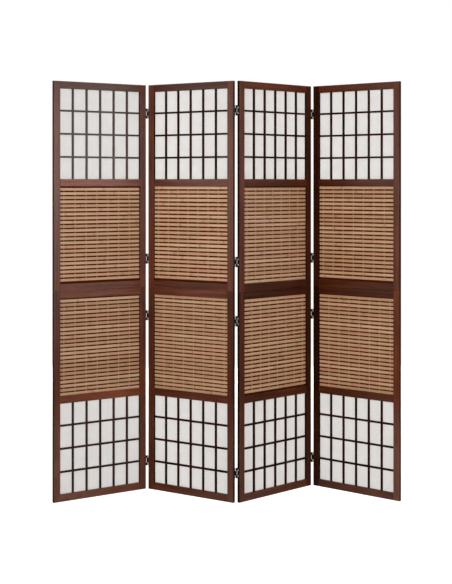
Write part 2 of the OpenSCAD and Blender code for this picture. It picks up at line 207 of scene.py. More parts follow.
def split(tree, value):
    return node(tree, "ShaderNodeSeparateXYZ", {0: value}).outputs[:3]


def colour_mix(tree, share, a, b, how="MIX"):
    return node(tree, "ShaderNodeMix", {0: share, 6: a, 7: b}, data_type="RGBA",
                blend_type=how).outputs[2]


def step(tree, value, low, high, to_low=0.0, to_high=1.0):
    """A smooth step from to_low at low to to_high at high."""
    return node(tree, "ShaderNodeMapRange", {0: value, 1: low, 2: high, 3: to_low, 4: to_high},
                interpolation_type="SMOOTHSTEP").outputs[0]


def noise(tree, place, scale=1.0, detail=2.0, rough=0.5):
    return node(tree, "ShaderNodeTexNoise",
                {"Vector": place, "Scale": scale, "Detail": detail, "Roughness": rough}).outputs[0]


def stops(tree, value, *pairs):
    """A colour ramp through (position, colour) pairs."""
    made = node(tree, "ShaderNodeValToRGB", {0: value})
    ramp = made.color_ramp
    while len(ramp.elements) < len(pairs):
        ramp.elements.new(0.5)
    for element, (position, colour) in zip(ramp.elements, pairs):
        element.position = position
        element.color = (*colour, 1)
    return made.outputs[0]


def finish(name, **values):
    """A new material with one surface shader, whose even values are set on it."""
    material = bpy.data.materials.new(name)
    material.use_nodes = True
    tree = material.node_tree
    tree.nodes.clear()
    shader = node(tree, "ShaderNodeBsdfPrincipled",
                  {key.replace("_", " "): value for key, value in values.items()})
    node(tree, "ShaderNodeOutputMaterial", {"Surface": shader.outputs[0]})
    return material, tree, shader


def relief(tree, shader, height, depth):
    """Raises the surface by height times depth, in metres."""
    bump = node(tree, "ShaderNodeBump", {"Height": height, "Distance": depth, "Strength": 1.0})
    tree.links.new(bump.outputs[0], shader.inputs["Normal"])


def paint(tree, shader, colour):
    tree.links.new(colour, shader.inputs["Base Color"])


def shaded(tree, colour, lightness):
    """A colour whose parts are all multiplied by the lightness, inside the material."""
    grey = vector(tree, lightness, lightness, lightness)
    return colour_mix(tree, 1.0, colour, grey, "MULTIPLY")


def lit_by(colour, lightness):
    """A plain colour multiplied by a plain number."""
    return tuple(part * lightness for part in colour)


def in_panel(tree, n):
    """Object coordinates in panel n's own frame."""
    x, y, turn = stands[n]
    back_x, back_y = turned((-x, -y), -turn)
    place = node(tree, "ShaderNodeTexCoord").outputs["Object"]
    return node(tree, "ShaderNodeMapping",
                {"Vector": place, "Location": (back_x, back_y, 0),
                 "Rotation": (0, 0, math.radians(-turn))}).outputs[0]


def facing(tree, n):
    """The way a face looks, in panel n's own frame."""
    normal = node(tree, "ShaderNodeNewGeometry").outputs["True Normal"]
    return split(tree, node(tree, "ShaderNodeVectorRotate",
                            {"Vector": normal, "Angle": math.radians(-stands[n][2])},
                            rotation_type="Z_AXIS").outputs[0])


def edge_of_piece(tree, n):
    """1 on bevelled edges, which face two ways at once, and 0 on flat faces."""
    sides = [calc(tree, "ABSOLUTE", side) for side in facing(tree, n)]
    largest = calc(tree, "MAXIMUM", calc(tree, "MAXIMUM", sides[0], sides[1]), sides[2])
    return step(tree, largest, 0.76, 0.95, 1.0, 0.0)


# Stained wood

WOOD_DARK = (0.030, 0.0050, 0.0013)
WOOD_MIDDLE = (0.102, 0.0215, 0.0055)
WOOD_LIGHT = (0.200, 0.0540, 0.0190)
WOOD_WORN = (0.250, 0.0900, 0.0420)

# How light each piece is, as a factor on its colour: partly how it came out of the stain, partly painted
# light, with painted shade on the stiles in the valleys between panels and painted sheen on some rails
# and stiles: left and right stile, then the rails from the lowest up
STILE_STAIN_AND_LIGHT = {(1, "lower"): (0.70, 0.86), (1, "upper"): (0.90, 0.92),
               (2, "lower"): (0.76, 0.62), (2, "upper"): (1.00, 0.90),
               (3, "lower"): (0.68, 0.44), (3, "upper"): (0.98, 0.54),
               (4, "lower"): (0.20, 1.20), (4, "upper"): (0.32, 0.92)}
RAIL_STAIN_AND_LIGHT = {(1, "lower"): (0.88, 1.40, 1.10), (1, "upper"): (0.90, 1.60, 0.50),
              (2, "lower"): (0.62, 0.82, 0.92), (2, "upper"): (0.92, 0.95, 0.52),
              (3, "lower"): (0.85, 0.72, 0.50), (3, "upper"): (0.50, 0.78, 0.95),
              (4, "lower"): (0.50, 0.64, 0.50), (4, "upper"): (0.58, 0.62, 0.70)}
LATTICE_STAIN = 0.24

# The factor on the colour of the stiles' narrow sides: painted shade, as they face sideways, away from
# the light
SIDE_SHADE = 0.12

# A painted reflection of the bright floor on the lowest part of the frame, broken into patches: its
# colour, how far each panel has it at its left and at its right side, and the heights between which it
# fades out
PAINTED_FLOOR_SHEEN = (0.160, 0.0720, 0.0500)
FOOT_SHEEN = [(0.98, 0.42), (0.12, 0.62), (0.56, 0.30), (0.45, 0.98)]
FOOT_SHEEN_LOW, FOOT_SHEEN_HIGH = 0.15, 0.50

# Panels 3 and 4 have the duller varnish, and only panel 1 has glossy lattice bars
VARNISH_IOR = [1.45, 1.41, 1.30, 1.36]
LATTICE_IOR = [1.45, 1.15, 1.15, 1.15]
VARNISH_GLOSS = 0.09

# Where each panel, its upper half and each kind of piece begin in the row of chance numbers
PANEL_SEED, UPPER_SEED = 7.3, 3.1
KIND_SEED = {"stile": 0, "rail": 0.37, "bar": 0.71}

# A height in which only one rail lies, which numbers the rails
RAIL_STEP = 0.2

# The length of grain from which every piece shows its own stretch
BOARD_LENGTH = 9.0


def whole_steps(tree, value, start, pitch):
    """How many whole steps a value lies past the start."""
    return calc(tree, "FLOOR", calc(tree, "DIVIDE", calc(tree, "SUBTRACT", value, start), pitch))


def lies_level(tree, x):
    """1 on the lattice's level bars, 0 on its upright bars."""
    along = calc(tree, "MODULO", calc(tree, "SUBTRACT", x, stile_w), pane_pitch_x)
    return calc(tree, "LESS_THAN", along, pane_pitch_x - bar_w - hair)


def is_right_stile(tree, x):
    return calc(tree, "GREATER_THAN", x, panel_w / 2)


def wood_piece_number(tree, kind, x, z):
    """A number that differs from piece to piece within one node."""
    if kind == "stile":
        return is_right_stile(tree, x)
    if kind == "rail":
        return whole_steps(tree, z, half_h, RAIL_STEP)
    column = whole_steps(tree, x, stile_w, pane_pitch_x)
    row = whole_steps(tree, z, field_z["lower"], pane_pitch_z)
    return slope(tree, lies_level(tree, x), calc(tree, "SUBTRACT", row, column), column)


def across_and_along(tree, kind, x, z):
    """The measures across a piece and along its grain."""
    if kind == "stile":
        return x, z
    if kind == "rail":
        return z, x
    level = lies_level(tree, x)
    return (slope(tree, level, calc(tree, "SUBTRACT", z, x), x),
            slope(tree, level, calc(tree, "SUBTRACT", x, z), z))


def painted_side_shade(tree, n):
    """Painted shade on the stiles' narrow sides, which face away from the light: darker than their faces.
    """
    return step(tree, calc(tree, "ABSOLUTE", facing(tree, n)[0]), 0.55, 0.85, 1.0, SIDE_SHADE)


def stain_and_painted_light(tree, kind, n, half, x, z):
    """How light this piece is, as a factor on its colour: its stain together with painted shade and
    painted sheen.
    """
    if kind == "bar":
        return LATTICE_STAIN
    if kind == "stile":
        left, right = STILE_STAIN_AND_LIGHT[n, half]
        face = slope(tree, is_right_stile(tree, x), right - left, left)
        return times(tree, face, painted_side_shade(tree, n))
    low, middle, high = RAIL_STAIN_AND_LIGHT[n, half]
    heights = [field_z[half] + field_h / 2, blind_z[half] + blind_h / 2]
    above_first, above_second = [calc(tree, "GREATER_THAN", z, height) for height in sorted(heights)]
    return slope(tree, above_second, high - middle, slope(tree, above_first, middle - low, low))


def painted_foot_sheen(tree, n, x, z, patches, depth):
    """How much painted floor reflection the lowest part of a panel gets: in patches, and less where the
    stain and painted shade are dark.
    """
    patchy = step(tree, patches, 0.30, 0.70, 0.45, 1.0)
    left, right = FOOT_SHEEN[n - 1]
    sheen_share = slope(tree, step(tree, x, 0.0, panel_w), right - left, left)
    sheen_share = times(tree, sheen_share, step(tree, z, FOOT_SHEEN_LOW, FOOT_SHEEN_HIGH, 1.0, 0.0))
    stain_and_shade_share = calc(tree, "MINIMUM", times(tree, depth, 1.2), 1.0)
    return times(tree, times(tree, sheen_share, patchy), stain_and_shade_share)


def stained_wood(n, half, kind):
    """Dark red-brown stain over open grain, worn a little lighter on the edges, with painted shade and
    painted sheen from piece to piece, painted shade on the stiles' narrow sides and a painted reflection
    of the floor low down.
    """
    varnish = (LATTICE_IOR if kind == "bar" else VARNISH_IOR)[n - 1]
    material, tree, shader = finish("stained_wood_%d_%s_%s" % (n, half, kind), IOR=varnish,
                                    Specular_IOR_Level=VARNISH_GLOSS)
    x, y, z = split(tree, in_panel(tree, n))
    seed = n * PANEL_SEED + (UPPER_SEED if half == "upper" else 0.0) + KIND_SEED[kind]
    number = plus(tree, wood_piece_number(tree, kind, x, z), seed)
    chance = node(tree, "ShaderNodeTexWhiteNoise", {"W": number}, noise_dimensions="1D").outputs[0]
    across, along = across_and_along(tree, kind, x, z)
    along = plus(tree, along, times(tree, chance, BOARD_LENGTH))
    place = vector(tree, across, y, along)
    wander = slope(tree, noise(tree, place, 3.5, 2.0), 0.035, across)

    def grain(waves, detail, rough):
        """Noise with about so many waves in a metre across, through and along the piece."""
        return noise(tree, stretched(tree, (wander, y, along), waves), 1.0, detail, rough)

    bands = grain((95, 45, 1.6), 3.0, 0.55)
    streaks = grain((420, 300, 7.0), 3.0, 0.6)
    pores = grain((1900, 1900, 42.0), 2.0, 0.5)
    figure = slope(tree, bands, 0.75, slope(tree, streaks, 0.45, -0.10))
    tone = slope(tree, noise(tree, place, 5.0, 2.0), 0.42, slope(tree, chance, 0.06, -0.24))
    wood_colour = stops(tree, plus(tree, figure, tone),
                  (0.22, WOOD_DARK), (0.50, WOOD_MIDDLE), (0.80, WOOD_LIGHT))
    pits = step(tree, pores, 0.34, 0.46, 0.55, 1.0)
    wood_colour = shaded(tree, wood_colour, pits)
    rubbed = step(tree, grain((60, 60, 14), 4.0, 0.7), 0.42, 0.66, 0.08, 0.65)
    wood_colour = colour_mix(tree, times(tree, edge_of_piece(tree, n), rubbed), wood_colour, (*WOOD_WORN, 1))
    # The stain's depth together with painted shade and painted sheen, piece by piece
    depth = stain_and_painted_light(tree, kind, n, half, x, z)
    wood_colour = shaded(tree, wood_colour, depth)
    if kind == "stile":
        gloss = calc(tree, "MINIMUM", times(tree, depth, 0.13), 0.10)
        tree.links.new(gloss, shader.inputs["Specular IOR Level"])
    # Painted reflection of the bright floor, lighter and greyer low on the stiles and rails
    if kind != "bar" and half == "lower":
        foot = painted_foot_sheen(tree, n, x, z, grain((30, 30, 9), 4.0, 0.65), depth)
        wood_colour = colour_mix(tree, foot, wood_colour, (*PAINTED_FLOOR_SHEEN, 1))
    paint(tree, shader, wood_colour)
    tree.links.new(slope(tree, streaks, 0.22, 0.29), shader.inputs["Roughness"])
    relief(tree, shader, slope(tree, pits, 0.7, times(tree, streaks, 0.5)), 0.00018)
    return material


def dowel_wood():
    """Plain pale turned wood, grain upright."""
    material, tree, shader = finish("dowel_wood", Roughness=0.62)
    place = split(tree, node(tree, "ShaderNodeTexCoord").outputs["Object"])
    grain = noise(tree, stretched(tree, place, (700, 700, 22)), 1.0, 3.0, 0.6)
    paint(tree, shader, stops(tree, grain, (0.3, (0.40, 0.25, 0.12)), (0.7, (0.62, 0.43, 0.24))))
    relief(tree, shader, grain, 0.0002)
    return material


# Paper, cloth, bamboo and thread

PAPER_SHADE = (0.735, 0.722, 0.708)
PAPER_WHITE = (0.805, 0.794, 0.783)
PAPER_FIBRE = (0.84, 0.835, 0.83)
# Painted light and shade: each panel's paper a little lighter or darker for how the light falls on it
PAPER_PAINTED_LIGHT = [0.95, 0.99, 1.01, 0.99]
PAPER_GLOW = 0.6


def shoji_paper(n):
    """White fibre paper: faint upright ribs, long stray fibres and soft clouds."""
    material, tree, shader = finish("shoji_paper_%d" % n, Roughness=0.9, Specular_IOR_Level=0.2)
    place = in_panel(tree, n)
    x, y, z = split(tree, place)
    ribs = noise(tree, stretched(tree, (x, 0.0, z), (520, 1, 9)), 1.0, 2.0, 0.6)
    clouds = noise(tree, place, 26.0, 4.0, 0.62)
    bent = slope(tree, noise(tree, place, 45.0, 2.0), 0.03, x)
    fibres = noise(tree, stretched(tree, (bent, 3.0, z), (750, 1, 60)), 1.0, 1.0)
    strands = step(tree, fibres, 0.66, 0.74)
    level = slope(tree, ribs, 0.5, times(tree, clouds, 0.5))
    # Painted light and shade on this panel's paper
    lightness = PAPER_PAINTED_LIGHT[n - 1]
    sheet = stops(tree, level, (0.28, lit_by(PAPER_SHADE, lightness)),
                  (0.72, lit_by(PAPER_WHITE, lightness)))
    sheet = colour_mix(tree, times(tree, strands, 0.35), sheet, (*PAPER_FIBRE, 1))
    paint(tree, shader, sheet)
    relief(tree, shader, plus(tree, level, times(tree, strands, 0.5)), 0.00012)
    through = node(tree, "ShaderNodeBsdfTranslucent", {"Color": sheet}).outputs[0]
    both = node(tree, "ShaderNodeMixShader", {0: PAPER_GLOW, 1: shader.outputs[0], 2: through})
    out = next(made for made in tree.nodes if made.type == "OUTPUT_MATERIAL")
    tree.links.new(both.outputs[0], out.inputs["Surface"])
    return material


CLOTH_DARK = (0.034, 0.0050, 0.0012)
CLOTH_LIGHT = (0.085, 0.0150, 0.0032)
CLOTH_THREADS_PER_M = 1250


def dark_cloth(n):
    """Close dark brown weave behind the slats."""
    material, tree, shader = finish("dark_cloth_%d" % n, IOR=1.20, Roughness=0.92,
                                    Specular_IOR_Level=0.15)
    x, y, z = split(tree, in_panel(tree, n))

    def woven(value):
        wave = calc(tree, "SINE", times(tree, value, CLOTH_THREADS_PER_M * math.pi))
        return calc(tree, "ABSOLUTE", wave)

    weave = times(tree, woven(x), woven(z))
    uneven = noise(tree, stretched(tree, (x, y, z), (700, 10, 45)), 1.0, 3.0, 0.6)
    level = slope(tree, weave, 0.45, times(tree, uneven, 0.55))
    paint(tree, shader, stops(tree, level, (0.15, CLOTH_DARK), (0.75, CLOTH_LIGHT)))
    relief(tree, shader, weave, 0.00015)
    return material


BAMBOO_TAN = (0.280, 0.137, 0.067)
BAMBOO_STRAW = (0.463, 0.253, 0.137)
BAMBOO_PALE = (0.710, 0.485, 0.315)
BAMBOO_PINKISH = (1.03, 0.955, 0.99)
BAMBOO_GOLDEN = (0.97, 1.035, 0.97)
RING_GLOW = (0.27, 0.13, 0.055)
RING_LINE = (0.16, 0.075, 0.032)
# The slats' upper and lower edges: the darker cut edge of the cane, and mostly painted shade between the
# slats
CUT_EDGE_AND_SHADE = (0.074, 0.0120, 0.0025)

# Painted light and shade on the slats of each panel, a factor on their colour for how the light falls on
# each blind: in the lower blind, then in the upper one
BAMBOO_PAINTED_LIGHT = [(0.90, 0.99), (1.01, 1.13), (1.13, 1.06), (1.03, 1.04)]

# The length of cane from which every slat shows its own stretch, the step from one joint of the cane
# to the next, and how wide a joint's line and the darker glow beside it are, as shares of that step
CANE_LENGTH = 37.0
CANE_STEP = 0.31
LINE_SHARE, GLOW_SHARE = 0.0085, 0.05


def bamboo(n):
    """Split bamboo: straw and tan by the slat, long fibres, and the rings where a cane had its joints,
    with painted light and shade from blind to blind and painted shade on the slats' upper and lower
    edges.
    """
    material, tree, shader = finish("bamboo_%d" % n, IOR=1.30, Specular_IOR_Level=0.3)
    x, y, z = split(tree, in_panel(tree, n))
    tone = node(tree, "ShaderNodeAttribute", attribute_name="slat_tone").outputs["Fac"]
    along = plus(tree, x, times(tree, tone, CANE_LENGTH))

    def grain(waves, detail, rough):
        """Noise with about so many waves in a metre along, through and up the slats."""
        return noise(tree, stretched(tree, (along, y, z), waves), 1.0, detail, rough)

    fibres = grain((5, 900, 1500), 3.0, 0.6)
    streaks = grain((2.2, 200, 260), 2.0, 0.55)
    patches = grain((9, 20, 50), 3.0, 0.6)
    level = slope(tree, fibres, 0.34, slope(tree, streaks, 0.40, times(tree, patches, 0.26)))
    level = plus(tree, level, slope(tree, tone, 0.15, -0.075))
    strip = stops(tree, level, (0.22, BAMBOO_TAN), (0.50, BAMBOO_STRAW), (0.80, BAMBOO_PALE))
    # Painted light and shade: the lower and upper blind of this panel made lighter or darker
    lower, upper = BAMBOO_PAINTED_LIGHT[n - 1]
    strip = shaded(tree, strip, step(tree, z, half_h - hair, half_h + hair, lower, upper))
    golden = step(tree, grain((6, 10, 34), 2.0, 0.5), 0.34, 0.66)
    tint = colour_mix(tree, golden, (*BAMBOO_PINKISH, 1), (*BAMBOO_GOLDEN, 1))
    strip = colour_mix(tree, 1.0, strip, tint, "MULTIPLY")
    in_cane = calc(tree, "FRACT", calc(tree, "DIVIDE", along, CANE_STEP))
    ring = calc(tree, "ABSOLUTE", calc(tree, "SUBTRACT", in_cane, 0.5))
    joint = step(tree, ring, 0.0, LINE_SHARE, 1.0, 0.0)
    glow = step(tree, ring, 0.0, GLOW_SHARE, 1.0, 0.0)
    strip = colour_mix(tree, times(tree, glow, 0.22), strip, (*RING_GLOW, 1))
    strip = colour_mix(tree, times(tree, joint, 0.5), strip, (*RING_LINE, 1))
    # Painted shade on the slats' upper and lower edges, where they turn away into the gaps, with the
    # darker cut edge of the cane
    leaning = split(tree, node(tree, "ShaderNodeNewGeometry").outputs["Normal"])[2]
    edge_shade = step(tree, calc(tree, "ABSOLUTE", leaning), 0.22, 0.75, 0.0, 0.90)
    strip = colour_mix(tree, edge_shade, strip, (*CUT_EDGE_AND_SHADE, 1))
    paint(tree, shader, strip)
    tree.links.new(slope(tree, fibres, 0.25, 0.42), shader.inputs["Roughness"])
    relief(tree, shader, plus(tree, fibres, joint), 0.00016)
    return material


def thread_finish(n):
    """Twisted undyed cotton."""
    material, tree, shader = finish("thread_%d" % n, IOR=1.30, Roughness=0.85, Specular_IOR_Level=0.2)
    x, y, z = split(tree, in_panel(tree, n))
    twist = calc(tree, "SINE", times(tree, plus(tree, z, plus(tree, x, y)), 7000.0))
    fuzz = noise(tree, vector(tree, x, y, z), 900.0, 2.0)
    level = slope(tree, twist, 0.2, fuzz)
    paint(tree, shader, stops(tree, level, (0.25, (0.40, 0.24, 0.13)), (0.75, (0.62, 0.42, 0.26))))
    relief(tree, shader, level, 0.0001)
    return material


# Hinges and screws

LACQUER = (0.0040, 0.0038, 0.0039)
LACQUER_SPECK = (0.010, 0.0095, 0.010)
RUBBED_LACQUER = (0.050, 0.046, 0.043)
TARNISH = (0.40, 0.38, 0.34)
PLATING = (0.68, 0.66, 0.62)


def black_steel():
    """Black baked lacquer with rubbed spots."""
    material, tree, shader = finish("black_steel", IOR=1.12, Specular_IOR_Level=0.5)
    place = node(tree, "ShaderNodeTexCoord").outputs["Object"]
    speckle = noise(tree, place, 1400.0, 3.0, 0.6)
    worn = step(tree, noise(tree, place, 170.0, 4.0, 0.7), 0.64, 0.74, 0.0, 0.35)
    black = stops(tree, speckle, (0.3, LACQUER), (0.7, LACQUER_SPECK))
    paint(tree, shader, colour_mix(tree, worn, black, (*RUBBED_LACQUER, 1)))
    tree.links.new(slope(tree, speckle, 0.25, 0.28), shader.inputs["Roughness"])
    relief(tree, shader, speckle, 0.00006)
    return material


def bright_steel():
    """Plated steel with fine turning marks and a trace of tarnish."""
    material, tree, shader = finish("bright_steel", Metallic=1.0)
    place = node(tree, "ShaderNodeTexCoord").outputs["Object"]
    marks = noise(tree, stretched(tree, split(tree, place), (300, 300, 5200)), 1.0, 2.0)
    tarnish = noise(tree, place, 420.0, 3.0, 0.6)
    paint(tree, shader, stops(tree, tarnish, (0.35, TARNISH), (0.65, PLATING)))
    tree.links.new(slope(tree, marks, 0.25, 0.20), shader.inputs["Roughness"])
    relief(tree, shader, marks, 0.00004)
    return material


# Repeated pieces

def tree_with(name, inputs):
    """An empty Geometry Nodes tree with a geometry input and these named inputs."""
    tree = bpy.data.node_groups.new(name, "GeometryNodeTree")
    tree.interface.new_socket("Geometry", in_out="INPUT", socket_type="NodeSocketGeometry")
    for label, kind in inputs:
        tree.interface.new_socket(label, in_out="INPUT", socket_type="NodeSocket" + kind)
    tree.interface.new_socket("Geometry", in_out="OUTPUT", socket_type="NodeSocketGeometry")
    given = node(tree, "NodeGroupInput").outputs
    return tree, given


def end_tree(tree, geometry, material):
    """Ends a tree: its instances are made real and get their finish."""
    real = node(tree, "GeometryNodeRealizeInstances", {"Geometry": geometry}).outputs[0]
    dressed = node(tree, "GeometryNodeSetMaterial", {"Geometry": real, "Material": material})
    out = node(tree, "NodeGroupOutput")
    tree.links.new(dressed.outputs[0], out.inputs[0])


def grown(tree, mesh, **values):
    """The plain mesh that a tree makes of a mesh, with these values for its named inputs."""
    holder = bpy.data.objects.new("holder", mesh)
    bpy.context.scene.collection.objects.link(holder)
    modifier = holder.modifiers.new("grow", "NODES")
    modifier.node_group = tree
    for item in tree.interface.items_tree:
        if item.in_out == "INPUT" and item.name.replace(" ", "_") in values:
            modifier[item.identifier] = values[item.name.replace(" ", "_")]
    graph = bpy.context.evaluated_depsgraph_get()
    made = bpy.data.meshes.new_from_object(holder.evaluated_get(graph),
                                           preserve_all_data_layers=True, depsgraph=graph)
    holder.modifiers.remove(modifier)
    bpy.data.objects.remove(holder)
    return made


def slat_tree():
    """Lays one slat over and over up a blind, each a little out of true."""
    tree, given = tree_with("slats_up_the_blind", [
        ("Slats", "Int"), ("Pitch", "Float"), ("Start", "Float"), ("Play", "Float"),
        ("Lean", "Float"), ("Seed", "Int"), ("Finish", "Material")])
    line = node(tree, "GeometryNodeMeshLine",
                {"Count": given["Slats"],
                 "Start Location": vector(tree, 0.0, 0.0, given["Start"]),
                 "Offset": vector(tree, 0.0, 0.0, given["Pitch"])}, mode="OFFSET").outputs[0]

    def chance(low, high, more):
        made = node(tree, "FunctionNodeRandomValue", data_type="FLOAT")
        sockets = {s.name: s for s in made.inputs if s.enabled}
        for key, value in (("Min", low), ("Max", high),
                           ("Seed", plus(tree, given["Seed"], more))):
            if isinstance(value, bpy.types.NodeSocket):
                tree.links.new(value, sockets[key])
            else:
                sockets[key].default_value = value
        return [s for s in made.outputs if s.enabled][0]

    def minus(value):
        return times(tree, value, -1.0)

    lift = chance(minus(given["Play"]), given["Play"], 1)
    placed = node(tree, "GeometryNodeSetPosition",
                  {"Geometry": line, "Offset": vector(tree, 0.0, 0.0, lift)}).outputs[0]
    lean = vector(tree, 0.0, chance(minus(given["Lean"]), given["Lean"], 2), 0.0)
    laid = node(tree, "GeometryNodeInstanceOnPoints",
                {"Points": placed, "Instance": given["Geometry"], "Rotation": lean}).outputs[0]
    toned = node(tree, "GeometryNodeStoreNamedAttribute",
                 {"Geometry": laid, "Name": "slat_tone", "Value": chance(0.0, 1.0, 3)},
                 data_type="FLOAT", domain="INSTANCE").outputs[0]
    end_tree(tree, toned, given["Finish"])
    return tree


def slat_mesh():
    """One split-bamboo slat about its middle: flat back, low round front, softened corners."""
    upper_side = [(0.03, 0.28), (0.13, 0.44), (0.36, 0.5), (0.80, 0.5), (1, 0.46)]
    lower_side = [(depth, -height) for depth, height in reversed(upper_side)]
    outline = lower_side + [(0.0, 0.0)] + upper_side
    half = opening_w / 2 + slat_tuck
    places = [-half, slat_end - half, half - slat_end, half]
    points = [(x, slat_t * depth, slat_w * height) for x in places for depth, height in outline]
    count = len(outline)
    faces = [(a * count + (i + 1) % count, a * count + i, (a + 1) * count + i,
              (a + 1) * count + (i + 1) % count)
             for a in range(len(places) - 1) for i in range(count)]
    faces.append(tuple(range(count)))
    faces.append(tuple(reversed(range((len(places) - 1) * count, len(places) * count))))
    mesh = bpy.data.meshes.new("slat")
    mesh.from_pydata(points, [], faces)
    mesh.update()
    mesh.polygons.foreach_set("use_smooth", [len(face.vertices) == 4 for face in mesh.polygons])
    return mesh


def thread_tree():
    """Four strands at each place across the blind, each in front of every second slat."""
    tree, given = tree_with("threads_round_the_slats", [
        ("Slats", "Int"), ("Pitch", "Float"), ("Start", "Float"), ("Reach", "Float"),
        ("Swing", "Float"), ("Radius", "Float"), ("Places", "Int"), ("Step", "Float"),
        ("Finish", "Material")])
    points_per_slat = 3.0
    index = node(tree, "GeometryNodeInputIndex").outputs[0]
    slat = calc(tree, "FLOOR", calc(tree, "DIVIDE", index, points_per_slat))
    place_in_slat = calc(tree, "SUBTRACT", calc(tree, "MODULO", index, points_per_slat), 1.0)
    height = slope(tree, place_in_slat, given["Reach"],
                   slope(tree, slat, given["Pitch"], given["Start"]))
    side = slope(tree, calc(tree, "MODULO", slat, 2.0), 2.0, -1.0)
    ring = node(tree, "GeometryNodeCurvePrimitiveCircle",
                {"Resolution": 6, "Radius": given["Radius"]}).outputs[0]
    strands = []
    for way, aside in ((1.0, inner_strand), (-1.0, -inner_strand),
                       (-1.0, outer_strand), (1.0, -outer_strand)):
        count = times(tree, given["Slats"], points_per_slat)
        line = node(tree, "GeometryNodeMeshLine", {"Count": count}, mode="OFFSET").outputs[0]
        depth = times(tree, times(tree, side, given["Swing"]), way)
        bent = node(tree, "GeometryNodeSetPosition",
                    {"Geometry": line, "Position": vector(tree, aside, depth, height)}).outputs[0]
        path = node(tree, "GeometryNodeMeshToCurve", {0: bent}).outputs[0]
        strands.append(node(tree, "GeometryNodeCurveToMesh",
                            {"Curve": path, "Profile Curve": ring, "Fill Caps": True}).outputs[0])
    thread = node(tree, "GeometryNodeJoinGeometry")
    for strand in strands:
        tree.links.new(strand, thread.inputs[0])
    row = node(tree, "GeometryNodeMeshLine",
               {"Count": given["Places"], "Offset": vector(tree, given["Step"], 0.0, 0.0)},
               mode="OFFSET").outputs[0]
    tied = node(tree, "GeometryNodeInstanceOnPoints",
                {"Points": row, "Instance": thread.outputs[0]}).outputs[0]
    end_tree(tree, tied, given["Finish"])
    return tree


def slats_in(pitch, start):
    """How many slats fit in a blind."""
    return int((blind_h - start - slat_w) / pitch + 1e-9) + 1


def piece(name, mesh, n, slot, *nodes):
    """A finished piece on panel n, which stands for these nodes."""
    mesh.name = name
    made = bpy.data.objects.new(name, mesh)
    bpy.context.scene.collection.objects.link(made)
    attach(made, "panel_%d" % n)
    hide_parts(*nodes)
    return made


def blind(n, half, trees, finishes):
    """The slats and threads of one blind."""
    pitch, start = slat_pitch[half][n - 1], slat_start[half][n - 1]
    count = slats_in(pitch, start)
    first = blind_z[half] + start + slat_w / 2
    seed = 10 * n + (5 if half == "upper" else 0)
    slats = grown(trees["slats"], slat_mesh(), Slats=count, Pitch=pitch, Start=first, Play=slat_play,
                  Lean=slat_lean, Seed=seed, Finish=finishes["bamboo", n])
    slats.transform(Matrix.Translation((panel_w / 2, slat_recess, 0)))
    piece("panel_%d_%s_slats" % (n, half), stand_up(slats, n), n, "bamboo",
          "panel_%d_bamboo_slats" % n)
    threads = grown(trees["threads"], bpy.data.meshes.new("start"), Slats=count, Pitch=pitch,
                    Start=first, Reach=slat_w / 2 + strand_r / 2, Swing=slat_t / 2 + strand_r,
                    Radius=strand_r, Places=thread_count,
                    Step=(opening_w - thread_inset - thread_far_inset) / (thread_count - 1),
                    Finish=finishes["thread", n])
    left = thread_far_inset if half == "lower" and n > 1 else thread_inset
    threads.transform(Matrix.Translation((stile_w + left, slat_recess + slat_t / 2, 0)))
    piece("panel_%d_%s_threads" % (n, half), stand_up(threads, n), n, "thread",
          "panel_%d_binding_threads" % n)


# Sheets held at their edges

def sheet_mesh(low, high, front, thickness, cells, slack):
    """A closed thin sheet; slack(x, z) says how far it stands back from flat."""
    columns, rows = cells
    xs = np.linspace(low[0], high[0], columns + 1)
    zs = np.linspace(low[1], high[1], rows + 1)
    gx, gz = np.meshgrid(xs, zs, indexing="ij")
    back_off = slack(gx, gz)
    points = np.concatenate([np.stack([gx, front + back_off + t, gz], -1).reshape(-1, 3)
                             for t in (0.0, thickness)])
    wide, size = rows + 1, (columns + 1) * (rows + 1)
    faces = []
    for i in range(columns):
        for k in range(rows):
            a, b = i * wide + k, (i + 1) * wide + k
            faces.append((a, b, b + 1, a + 1))
            faces.append((size + a + 1, size + b + 1, size + b, size + a))
    rim = ([i * wide for i in range(columns)] + [columns * wide + k for k in range(rows)]
           + [i * wide + rows for i in range(columns, 0, -1)] + list(range(rows, 0, -1)))
    for a, b in zip(rim, rim[1:] + rim[:1]):
        faces.append((b, a, size + a, size + b))
    mesh = bpy.data.meshes.new("sheet")
    mesh.from_pydata(points.tolist(), [], faces)
    mesh.update()
    flat_rim = 2 * columns * rows
    mesh.polygons.foreach_set("use_smooth", [i < flat_rim for i in range(len(mesh.polygons))])
    return mesh


def paper_slack(level):
    """The paper gives a little between the lattice bars, and less where it is glued."""
    def slack(x, z):
        u = np.clip((x - stile_w) / opening_w, 0, 1)
        v = np.clip((z - level) / field_h, 0, 1)
        across = np.sin(np.pi * u * pane_columns) ** 2
        up = np.sin(np.pi * v * pane_rows) ** 2
        ripple = np.sin(41 * u + 3 * v) ** 2 * (u > 0) * (u < 1)
        return paper_give * across * up + paper_ripple * ripple
    return slack


def cloth_slack(level, phase):
    """The cloth hangs between stiles and rails with a slight sag and shallow waves."""
    def slack(x, z):
        u = np.clip((x - stile_w) / opening_w, 0, 1)
        v = np.clip((z - level) / blind_h, 0, 1)
        held = np.sin(np.pi * u) * np.sin(np.pi * v)
        return held * (cloth_sag + cloth_wave * np.sin(9 * u + 5 * v + phase)
                       + cloth_small_wave * np.sin(23 * v - 7 * u + phase))
    return slack


